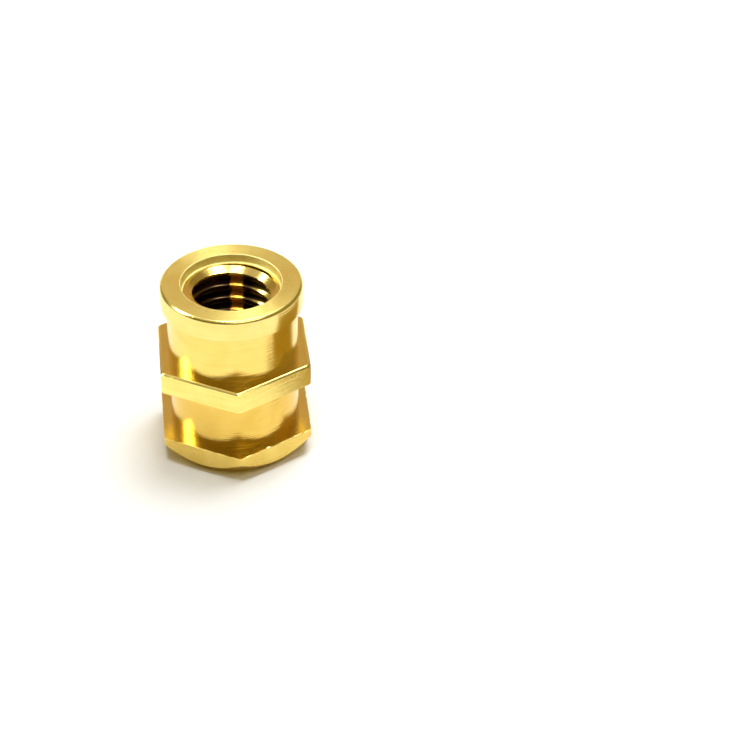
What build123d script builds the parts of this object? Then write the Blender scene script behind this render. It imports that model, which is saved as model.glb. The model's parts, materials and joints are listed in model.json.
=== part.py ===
"""Sleeve nut, turned in one piece from brass hexagon bar.

A threaded tube with a round flange at its mouth and two hexagon collars that are
left standing from the bar, with round necks turned between them. It stands on its
chamfered end, mouth up, with the origin at the middle of that end and +Z along the bore.
All sizes are in millimetres.
"""
from build123d import *
import math
import os

# Bar stock
ACROSS_FLATS = 8.0
CORNER_FACET_WIDTH = 0.18

# Heights above the chamfered end, and thicknesses
LENGTH = 10.0
FLANGE_THICKNESS = 1.25
COLLAR_TOP = 5.93
COLLAR_THICKNESS = 1.35
END_COLLAR_TOP = 1.63

# Turned outside
FLANGE_RADIUS = 3.80
NECK_RADIUS = 3.50
END_FACE_RADIUS = 3.53
END_CHAMFER_HEIGHT = 0.52
FLANGE_TOP_BREAK = 0.12
FLANGE_UNDERSIDE_BREAK = 0.04
COLLAR_EDGE_BREAK = 0.05

# Bore for an M5 x 0.8 thread, modelled plain at the crests of the thread
THREAD_MAJOR_RADIUS = 2.50
THREAD_MINOR_RADIUS = 2.10
COUNTERBORE_RADIUS = 2.68
COUNTERBORE_DEPTH = 0.50
COUNTERBORE_FLOOR_ROUNDING = 0.10
MOUTH_EDGE_BREAK = 0.05

# Worked out from the sizes above
FLANGE_UNDERSIDE = LENGTH - FLANGE_THICKNESS
COLLAR_UNDERSIDE = COLLAR_TOP - COLLAR_THICKNESS
COUNTERBORE_FLOOR = LENGTH - COUNTERBORE_DEPTH
COUNTERSINK_DEPTH = THREAD_MAJOR_RADIUS - THREAD_MINOR_RADIUS
CORNER_RADIUS = ACROSS_FLATS / 2 / math.cos(math.radians(30))
FACET_DISTANCE = CORNER_RADIUS - CORNER_FACET_WIDTH / 2 * math.tan(math.radians(30))
CHAMFER_SLOPE = END_CHAMFER_HEIGHT / (ACROSS_FLATS / 2 - END_FACE_RADIUS)
# The chamfer's cone runs up to here, where it has left the bar's corners behind
CONE_HEIGHT = (CORNER_RADIUS - END_FACE_RADIUS) * CHAMFER_SLOPE


def revolved(outline):
    """Return the solid that a closed outline of (radius, height) points sweeps round +Z."""
    face = make_face(Plane.XZ * Polyline(outline, close=True))
    return revolve(face, Axis.Z)


def hexagon_bar():
    """Return the bar, with flats facing +X and -X and a narrow facet along each corner."""
    flats = RegularPolygon(ACROSS_FLATS / 2, 6, major_radius=False, rotation=30)
    facets = RegularPolygon(FACET_DISTANCE, 6, major_radius=False)
    return extrude(flats, LENGTH) & extrude(facets, LENGTH)


def turned_outside():
    """Return what the lathe leaves: chamfered end collar, neck, middle collar, neck and flange."""
    return revolved([
        (0, 0),
        (END_FACE_RADIUS, 0),
        (CORNER_RADIUS, CONE_HEIGHT),
        (CORNER_RADIUS, END_COLLAR_TOP),
        (NECK_RADIUS, END_COLLAR_TOP),
        (NECK_RADIUS, COLLAR_UNDERSIDE),
        (CORNER_RADIUS, COLLAR_UNDERSIDE),
        (CORNER_RADIUS, COLLAR_TOP),
        (NECK_RADIUS, COLLAR_TOP),
        (NECK_RADIUS, FLANGE_UNDERSIDE),
        (FLANGE_RADIUS - FLANGE_UNDERSIDE_BREAK, FLANGE_UNDERSIDE),
        (FLANGE_RADIUS, FLANGE_UNDERSIDE + FLANGE_UNDERSIDE_BREAK),
        (FLANGE_RADIUS, LENGTH - FLANGE_TOP_BREAK),
        (FLANGE_RADIUS - FLANGE_TOP_BREAK, LENGTH),
        (0, LENGTH),
    ])


def bore():
    """Return the space inside: counterbore, thread bore and the far end's countersink."""
    space = revolved([
        (0, 0),
        (THREAD_MAJOR_RADIUS, 0),
        (THREAD_MINOR_RADIUS, COUNTERSINK_DEPTH),
        (THREAD_MINOR_RADIUS, COUNTERBORE_FLOOR),
        (COUNTERBORE_RADIUS, COUNTERBORE_FLOOR),
        (COUNTERBORE_RADIUS, LENGTH - MOUTH_EDGE_BREAK),
        (COUNTERBORE_RADIUS + MOUTH_EDGE_BREAK, LENGTH),
        (0, LENGTH),
    ])
    circles = space.edges().filter_by(GeomType.CIRCLE)
    at_floor = circles.filter_by_position(Axis.Z, COUNTERBORE_FLOOR, COUNTERBORE_FLOOR)
    return fillet(at_floor.sort_by(SortBy.RADIUS)[-1], COUNTERBORE_FLOOR_ROUNDING)


def collar_edges(body):
    """Return the straight edges round the end faces of both collars, which are broken by hand."""
    edges = body.edges().filter_by(GeomType.LINE)
    end_faces = (END_COLLAR_TOP, COLLAR_UNDERSIDE, COLLAR_TOP)
    return [
        edge
        for height in end_faces
        for edge in edges.filter_by_position(Axis.Z, height, height)
    ]


def sleeve_nut():
    """Return the whole nut as one solid."""
    body = hexagon_bar() & turned_outside()
    body = chamfer(collar_edges(body), COLLAR_EDGE_BREAK)
    return (body - bore()).solid()


nut = sleeve_nut()
nut.label = "sleeve_nut"
os.makedirs("parts", exist_ok=True)
export_step(nut, "parts/sleeve_nut.step")
print(f"sleeve_nut: {nut.volume:.1f} mm3, {len(nut.faces())} faces, size {nut.bounding_box().size}")
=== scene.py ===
"""Brass sleeve nut on a white studio floor.

The nut is modelled in millimetres, as its maker works: hexagon bar, turned outside,
counterbored and tapped bore. The finished mesh is scaled to metres, around the same
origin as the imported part: the middle of the chamfered end, with +Z along the bore.
"""

import json
import logging
import math
import random
from collections.abc import Callable
from dataclasses import dataclass, field
from enum import Enum

import bpy
from mathutils import Matrix, Vector

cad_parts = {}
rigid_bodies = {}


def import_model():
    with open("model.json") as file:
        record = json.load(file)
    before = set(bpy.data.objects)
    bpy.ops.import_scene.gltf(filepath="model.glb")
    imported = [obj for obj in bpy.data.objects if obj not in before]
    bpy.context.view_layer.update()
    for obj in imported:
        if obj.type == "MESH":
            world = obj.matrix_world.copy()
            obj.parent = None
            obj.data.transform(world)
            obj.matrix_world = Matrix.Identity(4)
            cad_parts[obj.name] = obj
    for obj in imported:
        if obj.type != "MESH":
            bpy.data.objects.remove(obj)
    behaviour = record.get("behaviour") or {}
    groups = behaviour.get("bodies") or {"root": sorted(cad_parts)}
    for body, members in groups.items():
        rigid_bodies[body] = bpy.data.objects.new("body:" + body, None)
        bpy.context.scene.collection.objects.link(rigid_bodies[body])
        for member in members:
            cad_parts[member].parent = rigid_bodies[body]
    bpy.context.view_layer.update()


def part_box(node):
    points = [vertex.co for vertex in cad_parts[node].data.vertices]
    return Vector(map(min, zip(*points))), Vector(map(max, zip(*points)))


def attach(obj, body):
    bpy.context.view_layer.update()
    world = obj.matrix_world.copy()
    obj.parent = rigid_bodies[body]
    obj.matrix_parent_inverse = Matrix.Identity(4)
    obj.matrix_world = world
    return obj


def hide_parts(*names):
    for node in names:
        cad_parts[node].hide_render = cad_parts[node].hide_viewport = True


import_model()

log = logging.getLogger("sleeve_nut")

MM = 0.001
FULL_TURN = 2 * math.pi
AXIS = (0.0, 0.0, 1.0)
CENTRE = (0.0, 0.0, 0.0)
SIDES = 6
SIDE_ANGLE = 360 / SIDES
HALF_SIDE = math.radians(SIDE_ANGLE / 2)

# Points of an edge whose heights differ by less than this, in millimetres, are level
LEVEL_GAP = 1e-4
# How far the middle of a face may be from its surface's place, in millimetres
TOUCHING = 1e-3
PAST_EDGE = 0.005
NEAR = 0.02
PAST_BREAK = 0.03
CLEAR = 0.05
# How upright the normal of a level, a tilted, a slanted and an upright face is
LEVEL_FACE = 0.99
TILTED_FACE = 0.5
SLANTED_FACE = 0.2
UPRIGHT_FACE = 0.05

Point = tuple[float, float]
Place = tuple[float, float, float]
Colour = tuple[float, float, float]


def deselect_all() -> None:
    """Leave nothing selected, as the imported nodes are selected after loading."""
    bpy.ops.object.select_all(action="DESELECT")


def take_up(piece: bpy.types.Object) -> None:
    """Select one piece alone and make it the active one."""
    deselect_all()
    piece.select_set(True)
    bpy.context.view_layer.objects.active = piece


def rgba(colour: Colour) -> tuple[float, float, float, float]:
    """Return a linear colour with full alpha."""
    return (*colour, 1.0)


class Joining(Enum):
    """How one solid is combined with another."""

    ADD = "UNION"
    CUT = "DIFFERENCE"
    COMMON = "INTERSECT"


class Element(Enum):
    """What is selected in edit mode, in the order of its three select buttons."""

    VERTEX = "vertices"
    EDGE = "edges"
    FACE = "faces"


class Solid:
    """A closed mesh that is worked on with the usual modelling operators, in millimetres."""

    def __init__(self, piece: bpy.types.Object) -> None:
        """Take over an object whose place, turn and size are applied to its mesh."""
        self.piece = piece
        take_up(piece)
        bpy.ops.object.transform_apply(location=True, rotation=True, scale=True)

    @classmethod
    def prism(cls, name: str, sides: int, radius: float, bottom: float, top: float) -> "Solid":
        """Make an upright prism with a corner towards +Y.

        Args:
            name: name of the object.
            sides: number of its side faces.
            radius: distance from the axis to each corner.
            bottom: height of its lower face.
            top: height of its upper face.

        Returns:
            The prism.
        """
        deselect_all()
        bpy.ops.mesh.primitive_cylinder_add(
            vertices=sides, radius=radius, depth=top - bottom, location=(0, 0, (top + bottom) / 2)
        )
        bpy.context.object.name = name
        return cls(bpy.context.object)

    @classmethod
    def outline(cls, name: str, points: list[Point]) -> "Solid":
        """Draw an open outline in the plane of X and Z by extruding one vertex from point to point.

        Args:
            name: name of the object.
            points: distance from the axis and height of each point.

        Returns:
            The outline, which turn() or wind() makes a surface of.
        """
        deselect_all()
        radius, height = points[0]
        bpy.ops.mesh.primitive_plane_add(size=1, location=(radius, 0, height))
        bpy.context.object.name = name
        line = cls(bpy.context.object)
        line.edit(lambda: bpy.ops.mesh.merge(type="CENTER"))
        for (radius, height), (next_radius, next_height) in zip(points, points[1:]):
            line.draw_on((next_radius - radius, 0, next_height - height))
        return line

    def edit(
        self,
        work: Callable[[], object],
        keep_selection: bool = False,
        kind: Element = Element.VERTEX,
    ) -> None:
        """Run operators in edit mode.

        Args:
            work: the operators to run.
            keep_selection: True to work on what is selected, or else on the whole mesh.
            kind: what is being selected.
        """
        take_up(self.piece)
        bpy.ops.object.mode_set(mode="EDIT")
        bpy.context.tool_settings.mesh_select_mode = tuple(element is kind for element in Element)
        if not keep_selection:
            bpy.ops.mesh.select_all(action="SELECT")
        work()
        bpy.ops.object.mode_set(mode="OBJECT")

    def draw_on(self, step: Place) -> None:
        """Extrude the selected end of an outline by one step."""
        self.edit(
            lambda: bpy.ops.mesh.extrude_vertices_move(TRANSFORM_OT_translate={"value": step}),
            keep_selection=True,
        )

    def pick_edges(self, wanted: Callable[[Vector, Vector], bool]) -> None:
        """Select the edges whose two end points pass a test.

        Args:
            wanted: takes both ends of an edge and says whether to select it.
        """
        mesh = self.piece.data
        for part in (mesh.vertices, mesh.edges, mesh.polygons):
            part.foreach_set("select", [False] * len(part))
        for edge in mesh.edges:
            start, end = (mesh.vertices[i].co for i in edge.vertices)
            edge.select = wanted(start, end)

    def bevel(self, width: float, segments: int) -> None:
        """Bevel the selected edges by a width, in a number of segments."""
        self.edit(
            lambda: bpy.ops.mesh.bevel(
                offset=width, offset_type="OFFSET", segments=segments, affect="EDGES"
            ),
            keep_selection=True, kind=Element.EDGE,
        )

    def tidy(self, gap: float = 1e-5) -> None:
        """Merge points closer than a gap and turn every face outwards."""
        self.edit(lambda: bpy.ops.mesh.remove_doubles(threshold=gap))
        self.edit(lambda: bpy.ops.mesh.normals_make_consistent(inside=False))

    def turn(self, steps: int) -> "Solid":
        """Spin the outline once round the axis into a closed solid.

        Args:
            steps: number of steps in the turn.

        Returns:
            This solid.
        """
        self.edit(lambda: bpy.ops.mesh.spin(steps=steps, angle=FULL_TURN, center=CENTRE, axis=AXIS))
        self.tidy()
        return self

    def wind(self, pitch: float, turns: int, steps: int) -> "Solid":
        """Sweep the outline along a right-hand helix and stitch its turns together.

        Args:
            pitch: rise of one turn, which is also the outline's height.
            turns: number of turns.
            steps: number of steps in one turn.

        Returns:
            The wound surface, which is open at both ends.
        """
        take_up(self.piece)
        bpy.ops.object.modifier_add(type="SCREW")
        screw = self.piece.modifiers[-1]
        screw.angle = FULL_TURN
        screw.screw_offset = pitch
        screw.iterations = turns
        screw.steps = screw.render_steps = steps
        bpy.ops.object.modifier_apply(modifier=screw.name)
        self.tidy(gap=1e-4)
        return self

    def saw(self, height: float, keep_below: bool) -> None:
        """Cut the mesh level at a height, and close the cut.

        Args:
            height: where the cut is.
            keep_below: True to keep what lies under the cut, False to keep what lies over it.
        """
        self.edit(
            lambda: bpy.ops.mesh.bisect(
                plane_co=(0, 0, height),
                plane_no=AXIS,
                use_fill=True,
                clear_outer=keep_below,
                clear_inner=not keep_below,
            )
        )

    def combine(self, other: "Solid", joining: Joining) -> "Solid":
        """Add, cut or intersect another solid.

        Args:
            other: the other solid, which is used up.
            joining: how the two are combined.

        Returns:
            This solid.
        """
        take_up(self.piece)
        bpy.ops.object.modifier_add(type="BOOLEAN")
        boolean = self.piece.modifiers[-1]
        boolean.operation = joining.value
        boolean.solver = "EXACT"
        boolean.object = other.piece
        bpy.ops.object.modifier_apply(modifier=boolean.name)
        spent = other.piece.data
        bpy.data.objects.remove(other.piece)
        bpy.data.meshes.remove(spent)
        return self


def arc(centre: Point, radius: float, start: float, end: float, steps: int) -> list[Point]:
    """Return points along an arc of an outline.

    Args:
        centre: distance from the axis and height of the arc's centre.
        radius: radius of the arc.
        start: first angle in degrees, from straight outwards towards straight up.
        end: last angle in degrees.
        steps: number of straight runs that the arc is made of.

    Returns:
        The points, both ends included.
    """
    angles = [math.radians(start + (end - start) * i / steps) for i in range(steps + 1)]
    return [(centre[0] + radius * math.cos(a), centre[1] + radius * math.sin(a)) for a in angles]


class Signal:
    """A shader socket that takes part in Python expressions. Each operator adds one Math node."""

    def __init__(self, graph: "Graph", socket: bpy.types.NodeSocket) -> None:
        """Wrap an output socket of a node in a graph."""
        self.graph = graph
        self.socket = socket

    def math(self, operation: str, *terms: "Signal | float") -> "Signal":
        """Return what a Math node makes of the terms."""
        return self.graph.add("ShaderNodeMath", {"operation": operation}, dict(enumerate(terms)))

    def __add__(self, other: "Signal | float") -> "Signal":
        """Return the sum."""
        return self.math("ADD", self, other)

    def __radd__(self, other: float) -> "Signal":
        """Return the sum, with the number first."""
        return self.math("ADD", other, self)

    def __sub__(self, other: "Signal | float") -> "Signal":
        """Return the difference."""
        return self.math("SUBTRACT", self, other)

    def __rsub__(self, other: float) -> "Signal":
        """Return a number less this signal."""
        return self.math("SUBTRACT", other, self)

    def __mul__(self, other: "Signal | float") -> "Signal":
        """Return the product."""
        return self.math("MULTIPLY", self, other)

    def __rmul__(self, other: float) -> "Signal":
        """Return the product, with the number first."""
        return self.math("MULTIPLY", other, self)

    def __pow__(self, other: float) -> "Signal":
        """Return this signal to a power."""
        return self.math("POWER", self, other)

    def larger(self, other: "Signal | float") -> "Signal":
        """Return the larger of two."""
        return self.math("MAXIMUM", self, other)

    def step(self, low: float, high: float) -> "Signal":
        """Return 0 below low and 1 above high, with a smooth rise between, or the reverse."""
        return self.graph.add(
            "ShaderNodeMapRange",
            {"interpolation_type": "SMOOTHSTEP"},
            {"Value": self, "From Min": low, "From Max": high},
        )


Value = Signal | float | Colour


class Graph:
    """The nodes of one material or world."""

    def __init__(self, owner: bpy.types.Material | bpy.types.World) -> None:
        """Start on the nodes that the owner comes with."""
        owner.use_nodes = True
        self.tree = owner.node_tree

    def add(
        self, kind: str, settings: dict[str, object], sockets: dict[str | int, Value], out: str | int = 0
    ) -> Signal:
        """Add a node.

        Args:
            kind: the node's type.
            settings: its own settings, such as a Math node's operation.
            sockets: a value or a signal for each input socket, by name or number.
            out: name or number of the output socket to return.

        Returns:
            The signal of that output socket.
        """
        node = self.tree.nodes.new(kind)
        for name, value in settings.items():
            setattr(node, name, value)
        self.fill(node, sockets)
        return Signal(self, node.outputs[out])

    def fill(self, node: bpy.types.Node, sockets: dict[str | int, Value]) -> None:
        """Give a node's input sockets their values or links.

        Args:
            node: the node.
            sockets: a value or a signal for each input socket, by name or number.
        """
        for name, value in sockets.items():
            socket = node.inputs[name]
            if isinstance(value, Signal):
                self.tree.links.new(value.socket, socket)
            elif isinstance(value, tuple) and socket.type == "RGBA":
                socket.default_value = rgba(value)
            else:
                socket.default_value = value

    def noise(self, where: Signal, scale: float, detail: float, roughness: float) -> Signal:
        """Return smooth noise between 0 and 1."""
        return self.add(
            "ShaderNodeTexNoise", {},
            {"Vector": where, "Scale": scale, "Detail": detail, "Roughness": roughness},
        )

    def mix(self, share: Signal | float, first: Value, second: Value) -> Signal:
        """Return a colour between two colours."""
        return self.add("ShaderNodeMix", {"data_type": "RGBA"}, {0: share, 6: first, 7: second}, 2)

    def place(self) -> tuple[Signal, Signal, Signal, Signal]:
        """Return the object coordinates in millimetres, and their X, Y and Z."""
        metres = self.add("ShaderNodeTexCoord", {}, {}, "Object")
        here = self.add("ShaderNodeVectorMath", {"operation": "SCALE"}, {0: metres, "Scale": 1 / MM})
        split = self.add("ShaderNodeSeparateXYZ", {}, {0: here})
        x, y, z = (Signal(self, socket) for socket in split.socket.node.outputs)
        return here, x, y, z

    def vector(self, x: Value, y: Value, z: Value) -> Signal:
        """Return a vector of three parts."""
        return self.add("ShaderNodeCombineXYZ", {}, {0: x, 1: y, 2: z})


class Lay(Enum):
    """Which way the tool marks run."""

    LEVEL = "level lines round the sides and in the bore"
    RINGS = "rings on the end faces"


@dataclass(frozen=True)
class Grain:
    """One kind of mark as smooth noise.

    The two sizes are in changes per millimetre, across the lay and along it. A mark that has no
    size along the lay runs no particular way.
    """

    across: float
    detail: float
    roughness: float
    along: float | None = None

    def draw(self, graph: Graph, here: Signal, x: Signal, y: Signal, over: Signal) -> Signal:
        """Draw the marks.

        Args:
            graph: the material's nodes.
            here: the place on the nut, in millimetres.
            x: its X.
            y: its Y.
            over: how far it is across the lay, in millimetres.

        Returns:
            Noise between 0 and 1.
        """
        if self.along is None:
            return graph.noise(here, self.across, self.detail, self.roughness)
        stretched = graph.vector(x * self.along, y * self.along, over * self.across)
        return graph.noise(stretched, 1.0, self.detail, self.roughness)


LINES = Grain(across=4.5, detail=3.0, roughness=0.6, along=0.25)
HAIRS = Grain(across=16.0, detail=1.0, roughness=0.5, along=0.6)
BLOTCHES = Grain(across=0.9, detail=3.0, roughness=0.55)
SPECKS = Grain(across=8.0, detail=2.0, roughness=0.6)

# Where the noise passes from bright brass to dull, in patches and in streaks
PATCH_EDGES = (0.35, 0.75)
STREAK_EDGES = (0.4, 0.8)
# How the painted shade low down fades out upwards, in millimetres, and how much of it is blotchy and how
# much even
LOW_SHADE_FADE = 0.4
LOW_SHADE_BLOTCHY, LOW_SHADE_EVEN = 0.8, 0.3
# How the painted shade in the bore fades out upwards and towards +X, in millimetres
BORE_SHADE_FADE = 0.15
BORE_SHADE_RIGHT_EDGE = (1.5, 1.0)
# The strip of painted reflection in the bore: the direction across it, where its two sides are, and its
# extra roughness
REFLECTION_STRIP_X, REFLECTION_STRIP_Y = 0.966, 0.259
REFLECTION_STRIP_LEFT_EDGE = (-0.62, -0.46)
REFLECTION_STRIP_RIGHT_EDGE = (0.22, 0.06)
REFLECTION_STRIP_ROUGHNESS = 0.18
# How much of the spread of the roughness follows the lines, and how much the specks
SPREAD_BY_LINES, SPREAD_BY_SPECKS = 0.6, 0.4


@dataclass(frozen=True)
class BrassFinish:
    """One way the brass is finished: its colours, its roughness and the marks of the tool.

    Heights and depths are in millimetres. Lines are the marks that the eye can tell apart, hairs
    are the fine ones between them, and specks are small pits and scratches. The brass tarnishes
    from bright to dull in patches and in streaks along the lay. Below one height it is painted
    darker and warmer, as painted shade. In the bore, below another height, it is painted dark as
    painted shade, which is left out on the right side, and a painted reflection runs down one
    strip at the back.
    """

    name: str
    lay: Lay
    roughness: float
    roughness_spread: float
    line_depth: float
    hair_depth: float
    speck_depth: float
    dull_share: float
    bright: Colour = (0.95, 0.75, 0.235)
    dull: Colour = (0.86, 0.60, 0.13)
    streak_share: float = 0.3
    # Painted shade: below a height the brass is painted darker and warmer, for the shaded floor that it
    # reflects there
    low_shade: Colour = (0.71, 0.46, 0.085)
    low_shade_below: float | None = None
    # Painted shade in the bore below a height, left out on the right side, and a painted reflection down one
    # strip at the back
    bore_shade: Colour = (0.17, 0.10, 0.05)
    strip_reflection: Colour = (0.66, 0.33, 0.04)
    bore_shade_below: float | None = None

    def material(self) -> bpy.types.Material:
        """Make the material of this finish."""
        material = bpy.data.materials.new(self.name)
        graph = Graph(material)
        here, x, y, z = graph.place()
        over = (x * x + y * y) ** 0.5 if self.lay is Lay.RINGS else z
        lines, hairs, blotches, specks = (
            grain.draw(graph, here, x, y, over) for grain in (LINES, HAIRS, BLOTCHES, SPECKS)
        )
        patches = blotches.step(*PATCH_EDGES) * (1 - self.streak_share)
        streaks = lines.step(*STREAK_EDGES) * self.streak_share
        colour = graph.mix((patches + streaks) * self.dull_share, self.bright, self.dull)
        roughness = self.roughness
        # Painted shade: darker, warmer brass low down
        if self.low_shade_below is not None:
            low_down = z.step(self.low_shade_below + LOW_SHADE_FADE, self.low_shade_below - LOW_SHADE_FADE)
            colour = graph.mix(low_down * (blotches * LOW_SHADE_BLOTCHY + LOW_SHADE_EVEN), colour, self.low_shade)
        # Painted shade in the bore, left out on the right, with a painted reflection down one strip at the
        # back
        if self.bore_shade_below is not None:
            painted_bore_shade = z.step(self.bore_shade_below + BORE_SHADE_FADE, self.bore_shade_below - BORE_SHADE_FADE) * x.step(*BORE_SHADE_RIGHT_EDGE)
            across_strip = x * REFLECTION_STRIP_X - y * REFLECTION_STRIP_Y
            strip = across_strip.step(*REFLECTION_STRIP_LEFT_EDGE) * across_strip.step(*REFLECTION_STRIP_RIGHT_EDGE)
            colour = graph.mix(painted_bore_shade, colour, graph.mix(strip, self.bore_shade, self.strip_reflection))
            roughness = strip * REFLECTION_STRIP_ROUGHNESS + roughness
        spread = (lines * SPREAD_BY_LINES + specks * SPREAD_BY_SPECKS - 0.5) * 2.0 * self.roughness_spread
        height = lines * self.line_depth + hairs * self.hair_depth + specks * self.speck_depth
        bump = graph.add("ShaderNodeBump", {}, {"Height": height, "Strength": 1.0, "Distance": MM})
        graph.fill(graph.tree.nodes["Principled BSDF"], {
            "Base Color": colour,
            "Roughness": spread + roughness,
            "Metallic": 1.0,
            "Normal": bump,
        })
        return material


class Part(Enum):
    """The surfaces of the nut that are finished alike, in the order of its material slots."""

    # Below 4.3 mm the necks are painted darker and warmer: painted shade
    NECKS = BrassFinish(
        "turned_brass", Lay.LEVEL, roughness=0.19, roughness_spread=0.06,
        line_depth=0.006, hair_depth=0.008, speck_depth=0.001, dull_share=0.8,
        bright=(0.92, 0.67, 0.19), dull=(0.84, 0.55, 0.11), streak_share=0.45, low_shade_below=4.3,
    )
    FLANGE = BrassFinish(
        "flange_brass", Lay.LEVEL, roughness=0.20, roughness_spread=0.07,
        line_depth=0.006, hair_depth=0.008, speck_depth=0.0015, dull_share=0.6,
        bright=(0.94, 0.73, 0.26), streak_share=0.5,
    )
    COUNTERBORE = BrassFinish(
        "counterbore_brass", Lay.LEVEL, roughness=0.56, roughness_spread=0.14,
        line_depth=0.012, hair_depth=0.015, speck_depth=0.05, dull_share=0.5,
        bright=(1.0, 0.93, 0.44), dull=(0.92, 0.72, 0.24),
    )
    # Below 1.9 mm the flats are painted darker and warmer: painted shade
    FLATS = BrassFinish(
        "bar_brass", Lay.LEVEL, roughness=0.26, roughness_spread=0.08,
        line_depth=0.016, hair_depth=0.006, speck_depth=0.002, dull_share=0.9,
        streak_share=0.7, low_shade=(0.64, 0.44, 0.09), low_shade_below=1.9,
    )
    MOUTH_FACE = BrassFinish(
        "faced_brass", Lay.RINGS, roughness=0.29, roughness_spread=0.06,
        line_depth=0.002, hair_depth=0.0, speck_depth=0.004, dull_share=0.6,
        bright=(1.0, 0.86, 0.28), dull=(0.93, 0.70, 0.165),
    )
    COLLAR_FACES = BrassFinish(
        "collar_face_brass", Lay.RINGS, roughness=0.18, roughness_spread=0.05,
        line_depth=0.004, hair_depth=0.005, speck_depth=0.001, dull_share=0.5,
        bright=(0.90, 0.68, 0.19), dull=(0.80, 0.54, 0.11),
    )
    # Below 8.95 mm the flanks are painted dark: painted shade, left out on the right, with a painted
    # reflection down one strip
    FLANKS = BrassFinish(
        "tapped_brass", Lay.LEVEL, roughness=0.14, roughness_spread=0.04,
        line_depth=0.002, hair_depth=0.002, speck_depth=0.002, dull_share=0.7,
        bright=(0.93, 0.68, 0.19), dull=(0.80, 0.52, 0.11), bore_shade_below=8.95,
    )
    # Below 8.95 mm the crests are painted dark: painted shade, left out on the right, with a painted
    # reflection down one strip
    CRESTS = BrassFinish(
        "crest_brass", Lay.LEVEL, roughness=0.22, roughness_spread=0.05,
        line_depth=0.002, hair_depth=0.003, speck_depth=0.001, dull_share=0.7,
        bore_shade_below=8.95,
    )
    EDGES = BrassFinish(
        "edge_brass", Lay.LEVEL, roughness=0.20, roughness_spread=0.08,
        line_depth=0.004, hair_depth=0.0, speck_depth=0.006, dull_share=0.1,
    )


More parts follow.
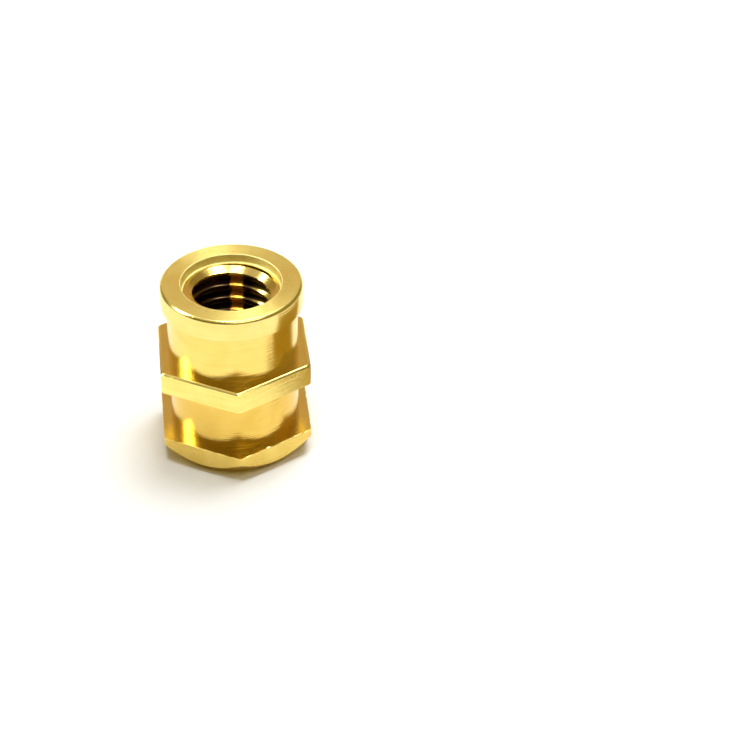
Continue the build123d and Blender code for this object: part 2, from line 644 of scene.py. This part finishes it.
@dataclass
class SleeveNut:
    """The whole nut. Sizes are in millimetres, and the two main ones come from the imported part.

    The widths of the broken edges are shares of collar_break. Now and then one is a burr.
    """

    across_flats: float
    length: float
    corner_facet: float = 0.18
    flange_thickness: float = 1.25
    flange_radius: float = 3.80
    neck_radius: float = 3.50
    collar_top: float = 5.93
    collar_thickness: float = 1.35
    end_collar_top: float = 1.63
    end_face_radius: float = 3.53
    end_chamfer_height: float = 0.52
    edge_break: float = 0.12
    edge_softness: float = 0.02
    facing_feed: float = 0.064
    facing_depth: float = 0.0074
    facing_steps: int = 6
    underside_break: float = 0.04
    mouth_break: float = 0.05
    collar_break: float = 0.05
    break_widths: tuple[float, float] = (0.3, 1.05)
    burr_widths: tuple[float, float] = (1.3, 2.0)
    burr_chance: float = 0.18
    thread_pitch: float = 0.80
    thread_crest: float = 0.14
    thread_ease: float = 0.006
    thread_half_angle: float = 30.0
    thread_minor_radius: float = 2.10
    thread_major_radius: float = 2.50
    crest_height_at_back: float = 8.31
    back_angle: float = 83.3
    counterbore_radius: float = 2.68
    counterbore_depth: float = 0.50
    counterbore_fillet: float = 0.10
    round_steps: int = 240
    thread_steps: int = 120
    arc_steps: int = 4
    edge_pieces: int = 28
    smooth_below: float = 25.0
    seed: int = 7
    burrs: random.Random = field(init=False)

    def __post_init__(self) -> None:
        """Set up the random draws for the uneven edges."""
        self.burrs = random.Random(self.seed)

    @property
    def corner_radius(self) -> float:
        """Distance from the axis to a sharp corner of the bar."""
        return self.across_flats / 2 / math.cos(HALF_SIDE)

    @staticmethod
    def level_at(heights: tuple[float, ...]) -> Callable[[Vector, Vector], bool]:
        """Return a test for edges that lie level at one of these heights."""
        return lambda a, b: abs(a.z - b.z) < LEVEL_GAP and min(abs(a.z - z) for z in heights) < LEVEL_GAP

    def bar_slice(self, name: str, bottom: float, top: float, broken: tuple[float, ...]) -> Solid:
        """Make a slice of the hexagon bar with faceted corners and broken edges.

        Args:
            name: name of the object.
            bottom: height of its lower face.
            top: height of its upper face.
            broken: heights of the end faces whose edges are broken.

        Returns:
            The slice.
        """
        slice_ = Solid.prism(name, SIDES, self.corner_radius, bottom, top)
        slice_.pick_edges(lambda a, b: abs(a.z - b.z) > (top - bottom) / 2)
        slice_.bevel(self.corner_facet / 2 / math.cos(HALF_SIDE), segments=1)
        flat_length = self.corner_radius / 2
        at_break = self.level_at(broken)
        slice_.pick_edges(lambda a, b: at_break(a, b) and (a - b).length > flat_length)
        slice_.edit(
            lambda: bpy.ops.mesh.subdivide(number_cuts=self.edge_pieces, ngon=False),
            keep_selection=True, kind=Element.EDGE,
        )
        slice_.pick_edges(at_break)
        slice_.bevel(self.collar_break, segments=2)
        self.roughen_breaks(slice_, broken)
        return slice_

    def break_width(self) -> float:
        """Draw the width of a broken edge at one point."""
        widths = self.burr_widths if self.burrs.random() < self.burr_chance else self.break_widths
        return self.burrs.uniform(*widths)

    def roughen_breaks(self, slice_: Solid, heights: tuple[float, ...]) -> None:
        """Widen and narrow the broken edges from place to place, as deburring by hand leaves them.

        Each point of a break moves towards or away from the sharp edge that was there, and stays
        in the flat or the end face that it lies on.

        Args:
            slice_: a slice of the bar whose edges are broken.
            heights: heights of the end faces whose edges are broken.
        """
        flat = self.across_flats / 2
        reach = self.collar_break * 1.01
        corner_zone = self.corner_radius / 2 - 1.5 * self.corner_facet
        stations_per_mm = 50
        stations: dict[tuple[int, int, float], float] = {}
        for vertex in slice_.piece.data.vertices:
            spot = vertex.co
            side = round((math.degrees(math.atan2(spot.y, spot.x)) % 360) / SIDE_ANGLE) % SIDES
            turn = math.radians(SIDE_ANGLE * side)
            outwards = Vector((math.cos(turn), math.sin(turn), 0))
            along = spot.dot(Vector((-outwards.y, outwards.x, 0)))
            height = min(heights, key=lambda z: abs(z - spot.z))
            depth = flat - spot.dot(outwards)
            if abs(spot.z - height) > reach or depth > reach or abs(along) > corner_zone:
                continue
            station = (side, round(along * stations_per_mm), height)
            if station not in stations:
                stations[station] = self.break_width()
            change = stations[station] - 1
            vertex.co = spot - outwards * depth * change + Vector((0, 0, (spot.z - height) * change))

    def end_collar(self) -> Solid:
        """Make the lower collar, with the chamfer that the lathe cuts across its corners."""
        spare = 0.5
        collar = self.bar_slice("end_collar", -spare, self.end_collar_top, (self.end_collar_top,))
        slope = self.end_chamfer_height / (self.across_flats / 2 - self.end_face_radius)
        wide = self.corner_radius + 0.4
        above = self.end_collar_top + 1
        blank = Solid.outline("end_blank", [
            (0, 0),
            (self.end_face_radius, 0),
            (wide, (wide - self.end_face_radius) * slope),
            (wide, above),
            (0, above),
        ]).turn(self.round_steps)
        return collar.combine(blank, Joining.COMMON)

    def facing_rings(self, outer: float) -> list[Point]:
        """Return the rings that the facing tool leaves, from a radius inwards to the counterbore."""
        width = outer - self.counterbore_radius
        rings = round(width / self.facing_feed)
        feed, steps = width / rings, self.facing_steps
        return [
            (outer - feed * i / steps, self.length - self.facing_depth * math.sin(math.pi * i / steps) ** 2)
            for i in range(1, steps * rings + 1)
        ]

    def turned_core(self) -> Solid:
        """Make the necks and the flange as one turned form."""
        underside = self.length - self.flange_thickness
        small, slant, soft = self.underside_break, self.edge_break, self.edge_softness
        top_edge = [
            (self.flange_radius, self.length - slant - soft),
            (self.flange_radius - soft * 0.4, self.length - slant),
            (self.flange_radius - slant, self.length - soft * 0.4),
            (self.flange_radius - slant - soft, self.length),
        ]
        return Solid.outline("turned_core", [
            (0, self.end_collar_top / 2),
            (self.neck_radius, self.end_collar_top / 2),
            (self.neck_radius, underside),
            (self.flange_radius - small, underside),
            (self.flange_radius, underside + small),
            *top_edge,
            *self.facing_rings(self.flange_radius - slant - soft),
            (0, self.length),
        ]).turn(self.round_steps)

    def mouth_tool(self) -> Solid:
        """Make the cutter for the counterbore and for the far end's countersink."""
        floor = self.length - self.counterbore_depth
        drill = self.thread_minor_radius - 0.1
        sink = self.thread_major_radius + 0.03
        below, above = -0.4, self.length + 0.5
        fillet, lip = self.counterbore_fillet, self.mouth_break
        round_floor = arc(
            (self.counterbore_radius - fillet, floor + fillet), fillet, -90, 0, self.arc_steps
        )
        round_mouth = arc(
            (self.counterbore_radius + lip, self.length - lip), lip, 180, 90, self.arc_steps
        )
        return Solid.outline("mouth_tool", [
            (0, below),
            (sink - below, below),
            (drill, sink - drill),
            (drill, floor),
            *round_floor,
            *round_mouth,
            (self.counterbore_radius + lip, above),
            (0, above),
        ]).turn(self.round_steps)

    def tap(self) -> Solid:
        """Make the tap: a threaded rod whose flanks are the thread's."""
        low, high, pitch = self.thread_minor_radius, self.thread_major_radius, self.thread_pitch
        crest, ease = self.thread_crest, self.thread_ease
        flank = (high - low) * math.tan(math.radians(self.thread_half_angle))
        root = pitch - crest - 2 * flank
        spare_turns, lead, overhang = 3, 1.5, 0.45
        start = self.crest_height_at_back - pitch * self.back_angle / 360
        start -= pitch * math.ceil((start + lead) / pitch)
        crest_end = start + crest / 2
        root_start = crest_end + flank
        root_end = root_start + root
        crest_start = start + pitch - crest / 2
        outline = [
            (low, start),
            (low, crest_end - ease),
            (low + ease, crest_end + ease / 2),
            (high - ease, root_start - ease / 2),
            (high, root_start + ease),
            (high, root_end - ease),
            (high - ease, root_end + ease / 2),
            (low + ease, crest_start - ease / 2),
            (low, crest_start + ease),
            (low, start + pitch),
        ]
        turns = math.ceil(self.length / pitch) + spare_turns
        rod = Solid.outline("tap", outline).wind(pitch, turns, self.thread_steps)
        rod.saw(-overhang, keep_below=False)
        rod.saw(self.length - self.counterbore_depth / 2, keep_below=True)
        rod.tidy()
        return rod

    def build(self) -> bpy.types.Object:
        """Make the nut from bar, as one closed mesh in metres."""
        nut = self.turned_core()
        underside = self.collar_top - self.collar_thickness
        collar = self.bar_slice("middle_collar", underside, self.collar_top, (underside, self.collar_top))
        nut.combine(collar, Joining.ADD)
        nut.combine(self.end_collar(), Joining.ADD)
        nut.combine(self.mouth_tool(), Joining.CUT)
        nut.combine(self.tap(), Joining.CUT)
        nut.tidy()
        piece = nut.piece
        piece.name = piece.data.name = "nut_body"
        take_up(piece)
        piece.scale = (MM, MM, MM)
        bpy.ops.object.transform_apply(location=True, rotation=True, scale=True)
        self.smooth(piece)
        return piece

    def smooth(self, piece: bpy.types.Object) -> None:
        """Shade the round surfaces smooth, and let the wide faces keep their flatness.

        Args:
            piece: the nut, in metres, as the selected and active object.
        """
        bpy.ops.object.shade_smooth_by_angle(angle=math.radians(self.smooth_below))
        bpy.ops.object.modifier_add(type="WEIGHTED_NORMAL")
        weighting = piece.modifiers[-1]
        weighting.mode = "FACE_AREA"
        weighting.weight = 100
        weighting.keep_sharp = True
        bpy.ops.object.modifier_apply(modifier=weighting.name)
        self.flatten_flats(piece.data)

    def flatten_flats(self, mesh: bpy.types.Mesh) -> None:
        """Shade the bar's flats exactly flat, although the broken edges round them are smooth.

        Args:
            mesh: the nut's mesh, in metres.
        """
        normals = [corner.vector.copy() for corner in mesh.corner_normals]
        for face in mesh.polygons:
            if self.part_of(face.center / MM, face.normal) is Part.FLATS:
                for corner in face.loop_indices:
                    normals[corner] = face.normal.copy()
        mesh.normals_split_custom_set(normals)

    def dress(self, piece: bpy.types.Object) -> None:
        """Give each face of the nut the finish of the surface that it belongs to.

        Args:
            piece: the nut, in metres.
        """
        for part in Part:
            piece.data.materials.append(part.value.material())
        slots = {part: i for i, part in enumerate(Part)}
        for face in piece.data.polygons:
            face.material_index = slots[self.part_of(face.center / MM, face.normal)]

    def part_of(self, spot: Vector, normal: Vector) -> Part:
        """Find which surface a face belongs to.

        Args:
            spot: the middle of the face, in millimetres.
            normal: the normal of the face.

        Returns:
            The surface.
        """
        radius = spot.to_2d().length
        inwards = spot.to_2d().dot(normal.to_2d()) < 0
        rise = abs(normal.z)
        thread_zone = self.thread_major_radius + NEAR
        mouth = self.counterbore_radius + self.mouth_break + PAST_EDGE
        floor = self.length - self.counterbore_depth
        rim = self.edge_break + PAST_BREAK
        if rise > LEVEL_FACE and spot.z < floor - 2 * CLEAR:
            return Part.COLLAR_FACES
        if inwards and spot.z > floor - TOUCHING and thread_zone < radius < mouth:
            return Part.COUNTERBORE
        if radius < thread_zone and spot.z < floor + CLEAR:
            crest = rise < SLANTED_FACE and radius < self.thread_minor_radius + NEAR
            return Part.CRESTS if crest else Part.FLANKS
        in_rings = spot.z > self.length - NEAR and radius < self.flange_radius - self.edge_break
        if in_rings and normal.z > TILTED_FACE:
            return Part.MOUTH_FACE
        if spot.z > self.length - rim and radius > self.flange_radius - rim and normal.z > SLANTED_FACE:
            return Part.EDGES
        if spot.z > self.length - self.flange_thickness - TOUCHING:
            return Part.FLANGE
        if rise > SLANTED_FACE and spot.z > self.end_collar_top - 2 * self.collar_break - CLEAR:
            return Part.EDGES
        if radius > self.flange_radius + CLEAR and rise < UPRIGHT_FACE:
            return Part.FLATS
        return Part.NECKS


class Sky:
    """The direction that each ray of light comes from, as signals of the world's graph.

    Azimuth 0 is towards the front, -Y, and 90 towards +X; all angles are in degrees.
    """

    def __init__(self, graph: Graph) -> None:
        """Work out the direction's parts and its two angles."""
        towards = graph.add("ShaderNodeTexCoord", {}, {}, "Generated")
        split = graph.add("ShaderNodeSeparateXYZ", {}, {0: towards})
        self.x, self.y, self.z = (Signal(graph, socket) for socket in split.socket.node.outputs)
        self.azimuth = self.x.math("ARCTAN2", self.x, 0.0 - self.y) * (180 / math.pi)
        self.elevation = self.z.math("ARCSINE", self.z) * (180 / math.pi)


@dataclass
class SkyPanel:
    """A soft panel of the studio that spans a range of azimuths and elevations."""

    azimuth: float
    half_width: float
    low: float
    high: float
    soft: float
    colour: Colour
    strength: float = 1.0

    def mask(self, sky: Sky) -> Signal:
        """Draw the panel.

        Args:
            sky: the direction of each ray.

        Returns:
            1 inside the panel and 0 outside it, with soft edges.
        """
        off = sky.azimuth - self.azimuth
        wrapped = off.math("WRAP", off, 180.0, -180.0)
        across = wrapped.math("ABSOLUTE", wrapped)
        side = across.step(self.half_width + self.soft, self.half_width - self.soft)
        bottom = sky.elevation.step(self.low - self.soft, self.low + self.soft)
        top = sky.elevation.step(self.high + self.soft, self.high - self.soft)
        return side * bottom * top


@dataclass
class SkyLamp:
    """A round lamp of the studio, given by its middle and its radius in degrees."""

    azimuth: float
    elevation: float
    radius: float
    soft: float
    colour: Colour
    strength: float

    def mask(self, sky: Sky) -> Signal:
        """Draw the lamp.

        Args:
            sky: the direction of each ray.

        Returns:
            1 inside the lamp and 0 outside it, with a soft edge.
        """
        rise, round_ = math.radians(self.elevation), math.radians(self.azimuth)
        level = math.cos(rise)
        along = sky.x * (level * math.sin(round_)) - sky.y * (level * math.cos(round_))
        nearness = along + sky.z * math.sin(rise)
        outer = math.cos(math.radians(self.radius + self.soft))
        return nearness.step(outer, math.cos(math.radians(self.radius - self.soft)))


@dataclass
class Card:
    """A flat card that only the metal's reflections show. Sizes are in millimetres.

    It faces -X and leans back by its lean in degrees, and then turns round the upright axis.
    A card with a glow is a lit one; the others are matt.
    """

    name: str
    width: float
    height: float
    place: Place
    lean: float
    colour: Colour
    turn: float = 0.0
    glow: float = 0.0

    @classmethod
    def window(cls, name: str, azimuth: float, low: float, high: float, width: float, glow: float) -> "Card":
        """Hang a lit card far off, facing the nut. Angles are in degrees, as seen from the nut.

        Args:
            name: name of the card.
            azimuth: where its middle is, from the front towards +X.
            low: elevation of its lower edge.
            high: elevation of its upper edge.
            width: how wide it looks.
            glow: strength of its light.

        Returns:
            The card.
        """
        far = 600.0
        rise = math.radians((low + high) / 2)
        round_ = math.radians(azimuth)
        place = (
            far * math.cos(rise) * math.sin(round_),
            -far * math.cos(rise) * math.cos(round_),
            far * math.sin(rise),
        )
        return cls(
            name=name,
            width=2 * far * math.tan(math.radians(width / 2)) * math.cos(rise),
            height=2 * far * math.tan(math.radians((high - low) / 2)),
            place=place,
            lean=-math.degrees(rise),
            colour=(1.0, 1.0, 1.0),
            turn=azimuth - 90.0,
            glow=glow,
        )

    def build(self) -> None:
        """Set the card up."""
        deselect_all()
        bpy.ops.mesh.primitive_plane_add(size=1.0)
        card = bpy.context.object
        card.name = self.name
        card.scale = (self.height * MM, self.width * MM, 1.0)
        card.rotation_euler = (0, math.radians(self.lean - 90), math.radians(self.turn))
        card.location = Vector(self.place) * MM
        bpy.ops.object.transform_apply(location=True, rotation=True, scale=True)
        card.visible_camera = card.visible_diffuse = card.visible_shadow = False
        material = bpy.data.materials.new(self.name)
        graph = Graph(material)
        if self.glow > 0:
            lit = graph.add("ShaderNodeEmission", {}, {"Color": self.colour, "Strength": self.glow})
            graph.fill(graph.tree.nodes["Material Output"], {"Surface": lit})
        else:
            graph.fill(graph.tree.nodes["Principled BSDF"], {
                "Base Color": self.colour, "Roughness": 0.9, "Specular IOR Level": 0.0,
            })
        card.data.materials.append(material)


@dataclass
class Studio:
    """Camera, floor and the light round the nut.

    The camera's place is in millimetres, and its focal length and picture width are in pixels.
    The floor is a little lighter to the eye and in the metal than it is in the light it gives.
    """

    camera_place: Place = (-4.0257, -95.4247, 73.4092)
    camera_right: Place = (0.99378, -0.11109, 0.00765)
    camera_forward: Place = (0.09453, 0.80526, -0.58534)
    focal_length: float = 2160.4
    picture_width: float = 730
    sensor_width: float = 36.0
    floor_size: float = 2.0
    floor_colour: Colour = (0.86, 0.87, 0.90)
    floor_mirrored: Colour = (0.98, 0.99, 1.0)
    floor_shown: Colour = (0.90, 0.91, 0.93)
    ambient: Colour = (0.29, 0.25, 0.12)
    lights: tuple[SkyPanel | SkyLamp, ...] = (
        # The ceiling
        SkyPanel(azimuth=0, half_width=180, low=54, high=200, soft=4, colour=(0.53, 0.52, 0.48)),
        # A warm wall behind the nut
        SkyPanel(azimuth=180, half_width=38, low=-10, high=54, soft=8, colour=(0.57, 0.42, 0.27)),
        # The dim side of the room, in front of the nut
        SkyPanel(azimuth=-12, half_width=72, low=-10, high=47, soft=6, colour=(0.17, 0.14, 0.02)),
        # A bright strip over the camera
        SkyPanel(azimuth=28, half_width=32, low=50, high=62, soft=3, colour=(1.0, 0.98, 0.94), strength=2.9),
        # The main lamp, high up behind the nut
        SkyLamp(azimuth=132, elevation=72, radius=13, soft=2, colour=(0.97, 0.99, 1.0), strength=12.4),
        # A small lamp almost overhead
        SkyLamp(azimuth=-30, elevation=80, radius=4.5, soft=0.5, colour=(1.0, 1.0, 1.0), strength=43.0),
    )
    cards: tuple[Card, ...] = (
        Card(
            "gold_card", width=7.4, height=6.8, place=(8.5, -1.5, 4.05), lean=8, colour=(0.60, 0.45, 0.07)
        ),
        # A dark card lying on the floor: a painted shadow that only the metal's reflections show
        Card(
            "shade_card", width=3.2, height=3.0, place=(9.7, -5.9, 0.03), lean=90, colour=(0.27, 0.23, 0.14)
        ),
        Card.window("left_window", azimuth=-98, low=26, high=50, width=17, glow=12.0),
        Card.window("high_window", azimuth=-112, low=46, high=58, width=18, glow=12.0),
    )

    def build(self) -> None:
        """Make the whole studio."""
        self.camera()
        self.floor()
        for card in self.cards:
            card.build()
        self.light()

    def camera(self) -> None:
        """Set the camera where the photograph was taken."""
        data = bpy.data.cameras.new("camera")
        data.sensor_width = self.sensor_width
        data.lens = self.sensor_width * self.focal_length / self.picture_width
        shot = bpy.data.objects.new("camera", data)
        forward = Vector(self.camera_forward).normalized()
        up = Vector(self.camera_right).cross(forward).normalized()
        right = forward.cross(up).normalized()
        turn = Matrix((right, up, -forward)).transposed().to_4x4()
        shot.matrix_world = Matrix.Translation(Vector(self.camera_place) * MM) @ turn
        bpy.context.collection.objects.link(shot)
        bpy.context.scene.camera = shot

    def floor(self) -> None:
        """Lay the white floor, which keeps the nut's shadow and shows white around it."""
        deselect_all()
        bpy.ops.mesh.primitive_plane_add(size=self.floor_size)
        floor = bpy.context.object
        floor.name = "floor"
        material = bpy.data.materials.new("white_floor")
        graph = Graph(material)
        path = graph.add("ShaderNodeLightPath", {}, {})
        rays = {socket.name: Signal(graph, socket) for socket in path.socket.node.outputs}
        mirror = rays["Is Glossy Ray"].larger(rays["Is Transmission Ray"])
        plain = graph.tree.nodes["Principled BSDF"]
        graph.fill(plain, {"Base Color": self.floor_colour, "Roughness": 1.0, "Specular IOR Level": 0.0})
        paper = Signal(graph, plain.outputs[0])
        for seen, colour in ((mirror, self.floor_mirrored), (rays["Is Camera Ray"], self.floor_shown)):
            shown = graph.add("ShaderNodeBsdfDiffuse", {}, {"Color": colour})
            paper = graph.add("ShaderNodeMixShader", {}, {0: seen, 1: paper, 2: shown})
        graph.fill(graph.tree.nodes["Material Output"], {"Surface": paper})
        floor.data.materials.append(material)

    def light(self) -> None:
        """Light the nut from soft panels and lamps all round it."""
        world = bpy.data.worlds.new("studio")
        bpy.context.scene.world = world
        graph = Graph(world)
        sky = Sky(graph)
        light: Value = self.ambient
        for source in self.lights:
            shown = tuple(c * source.strength for c in source.colour)
            light = graph.mix(source.mask(sky), light, shown)
        graph.fill(graph.tree.nodes["Background"], {"Color": light, "Strength": 1.0})


def main() -> None:
    """Build the nut and its studio, and report each piece."""
    logging.basicConfig(level=logging.INFO, format="%(name)s: %(message)s")
    low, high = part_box("sleeve_nut")
    nut = SleeveNut(across_flats=(high.x - low.x) / MM, length=(high.z - low.z) / MM)
    piece = nut.build()
    nut.dress(piece)
    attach(piece, "root")
    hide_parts("sleeve_nut")
    piece.data.calc_loop_triangles()
    log.info("nut_body: %d faces, %d triangles", len(piece.data.polygons), len(piece.data.loop_triangles))
    Studio().build()
    scene = bpy.context.scene
    scene.view_settings.view_transform = "Standard"


if __name__ == "__main__":
    main()
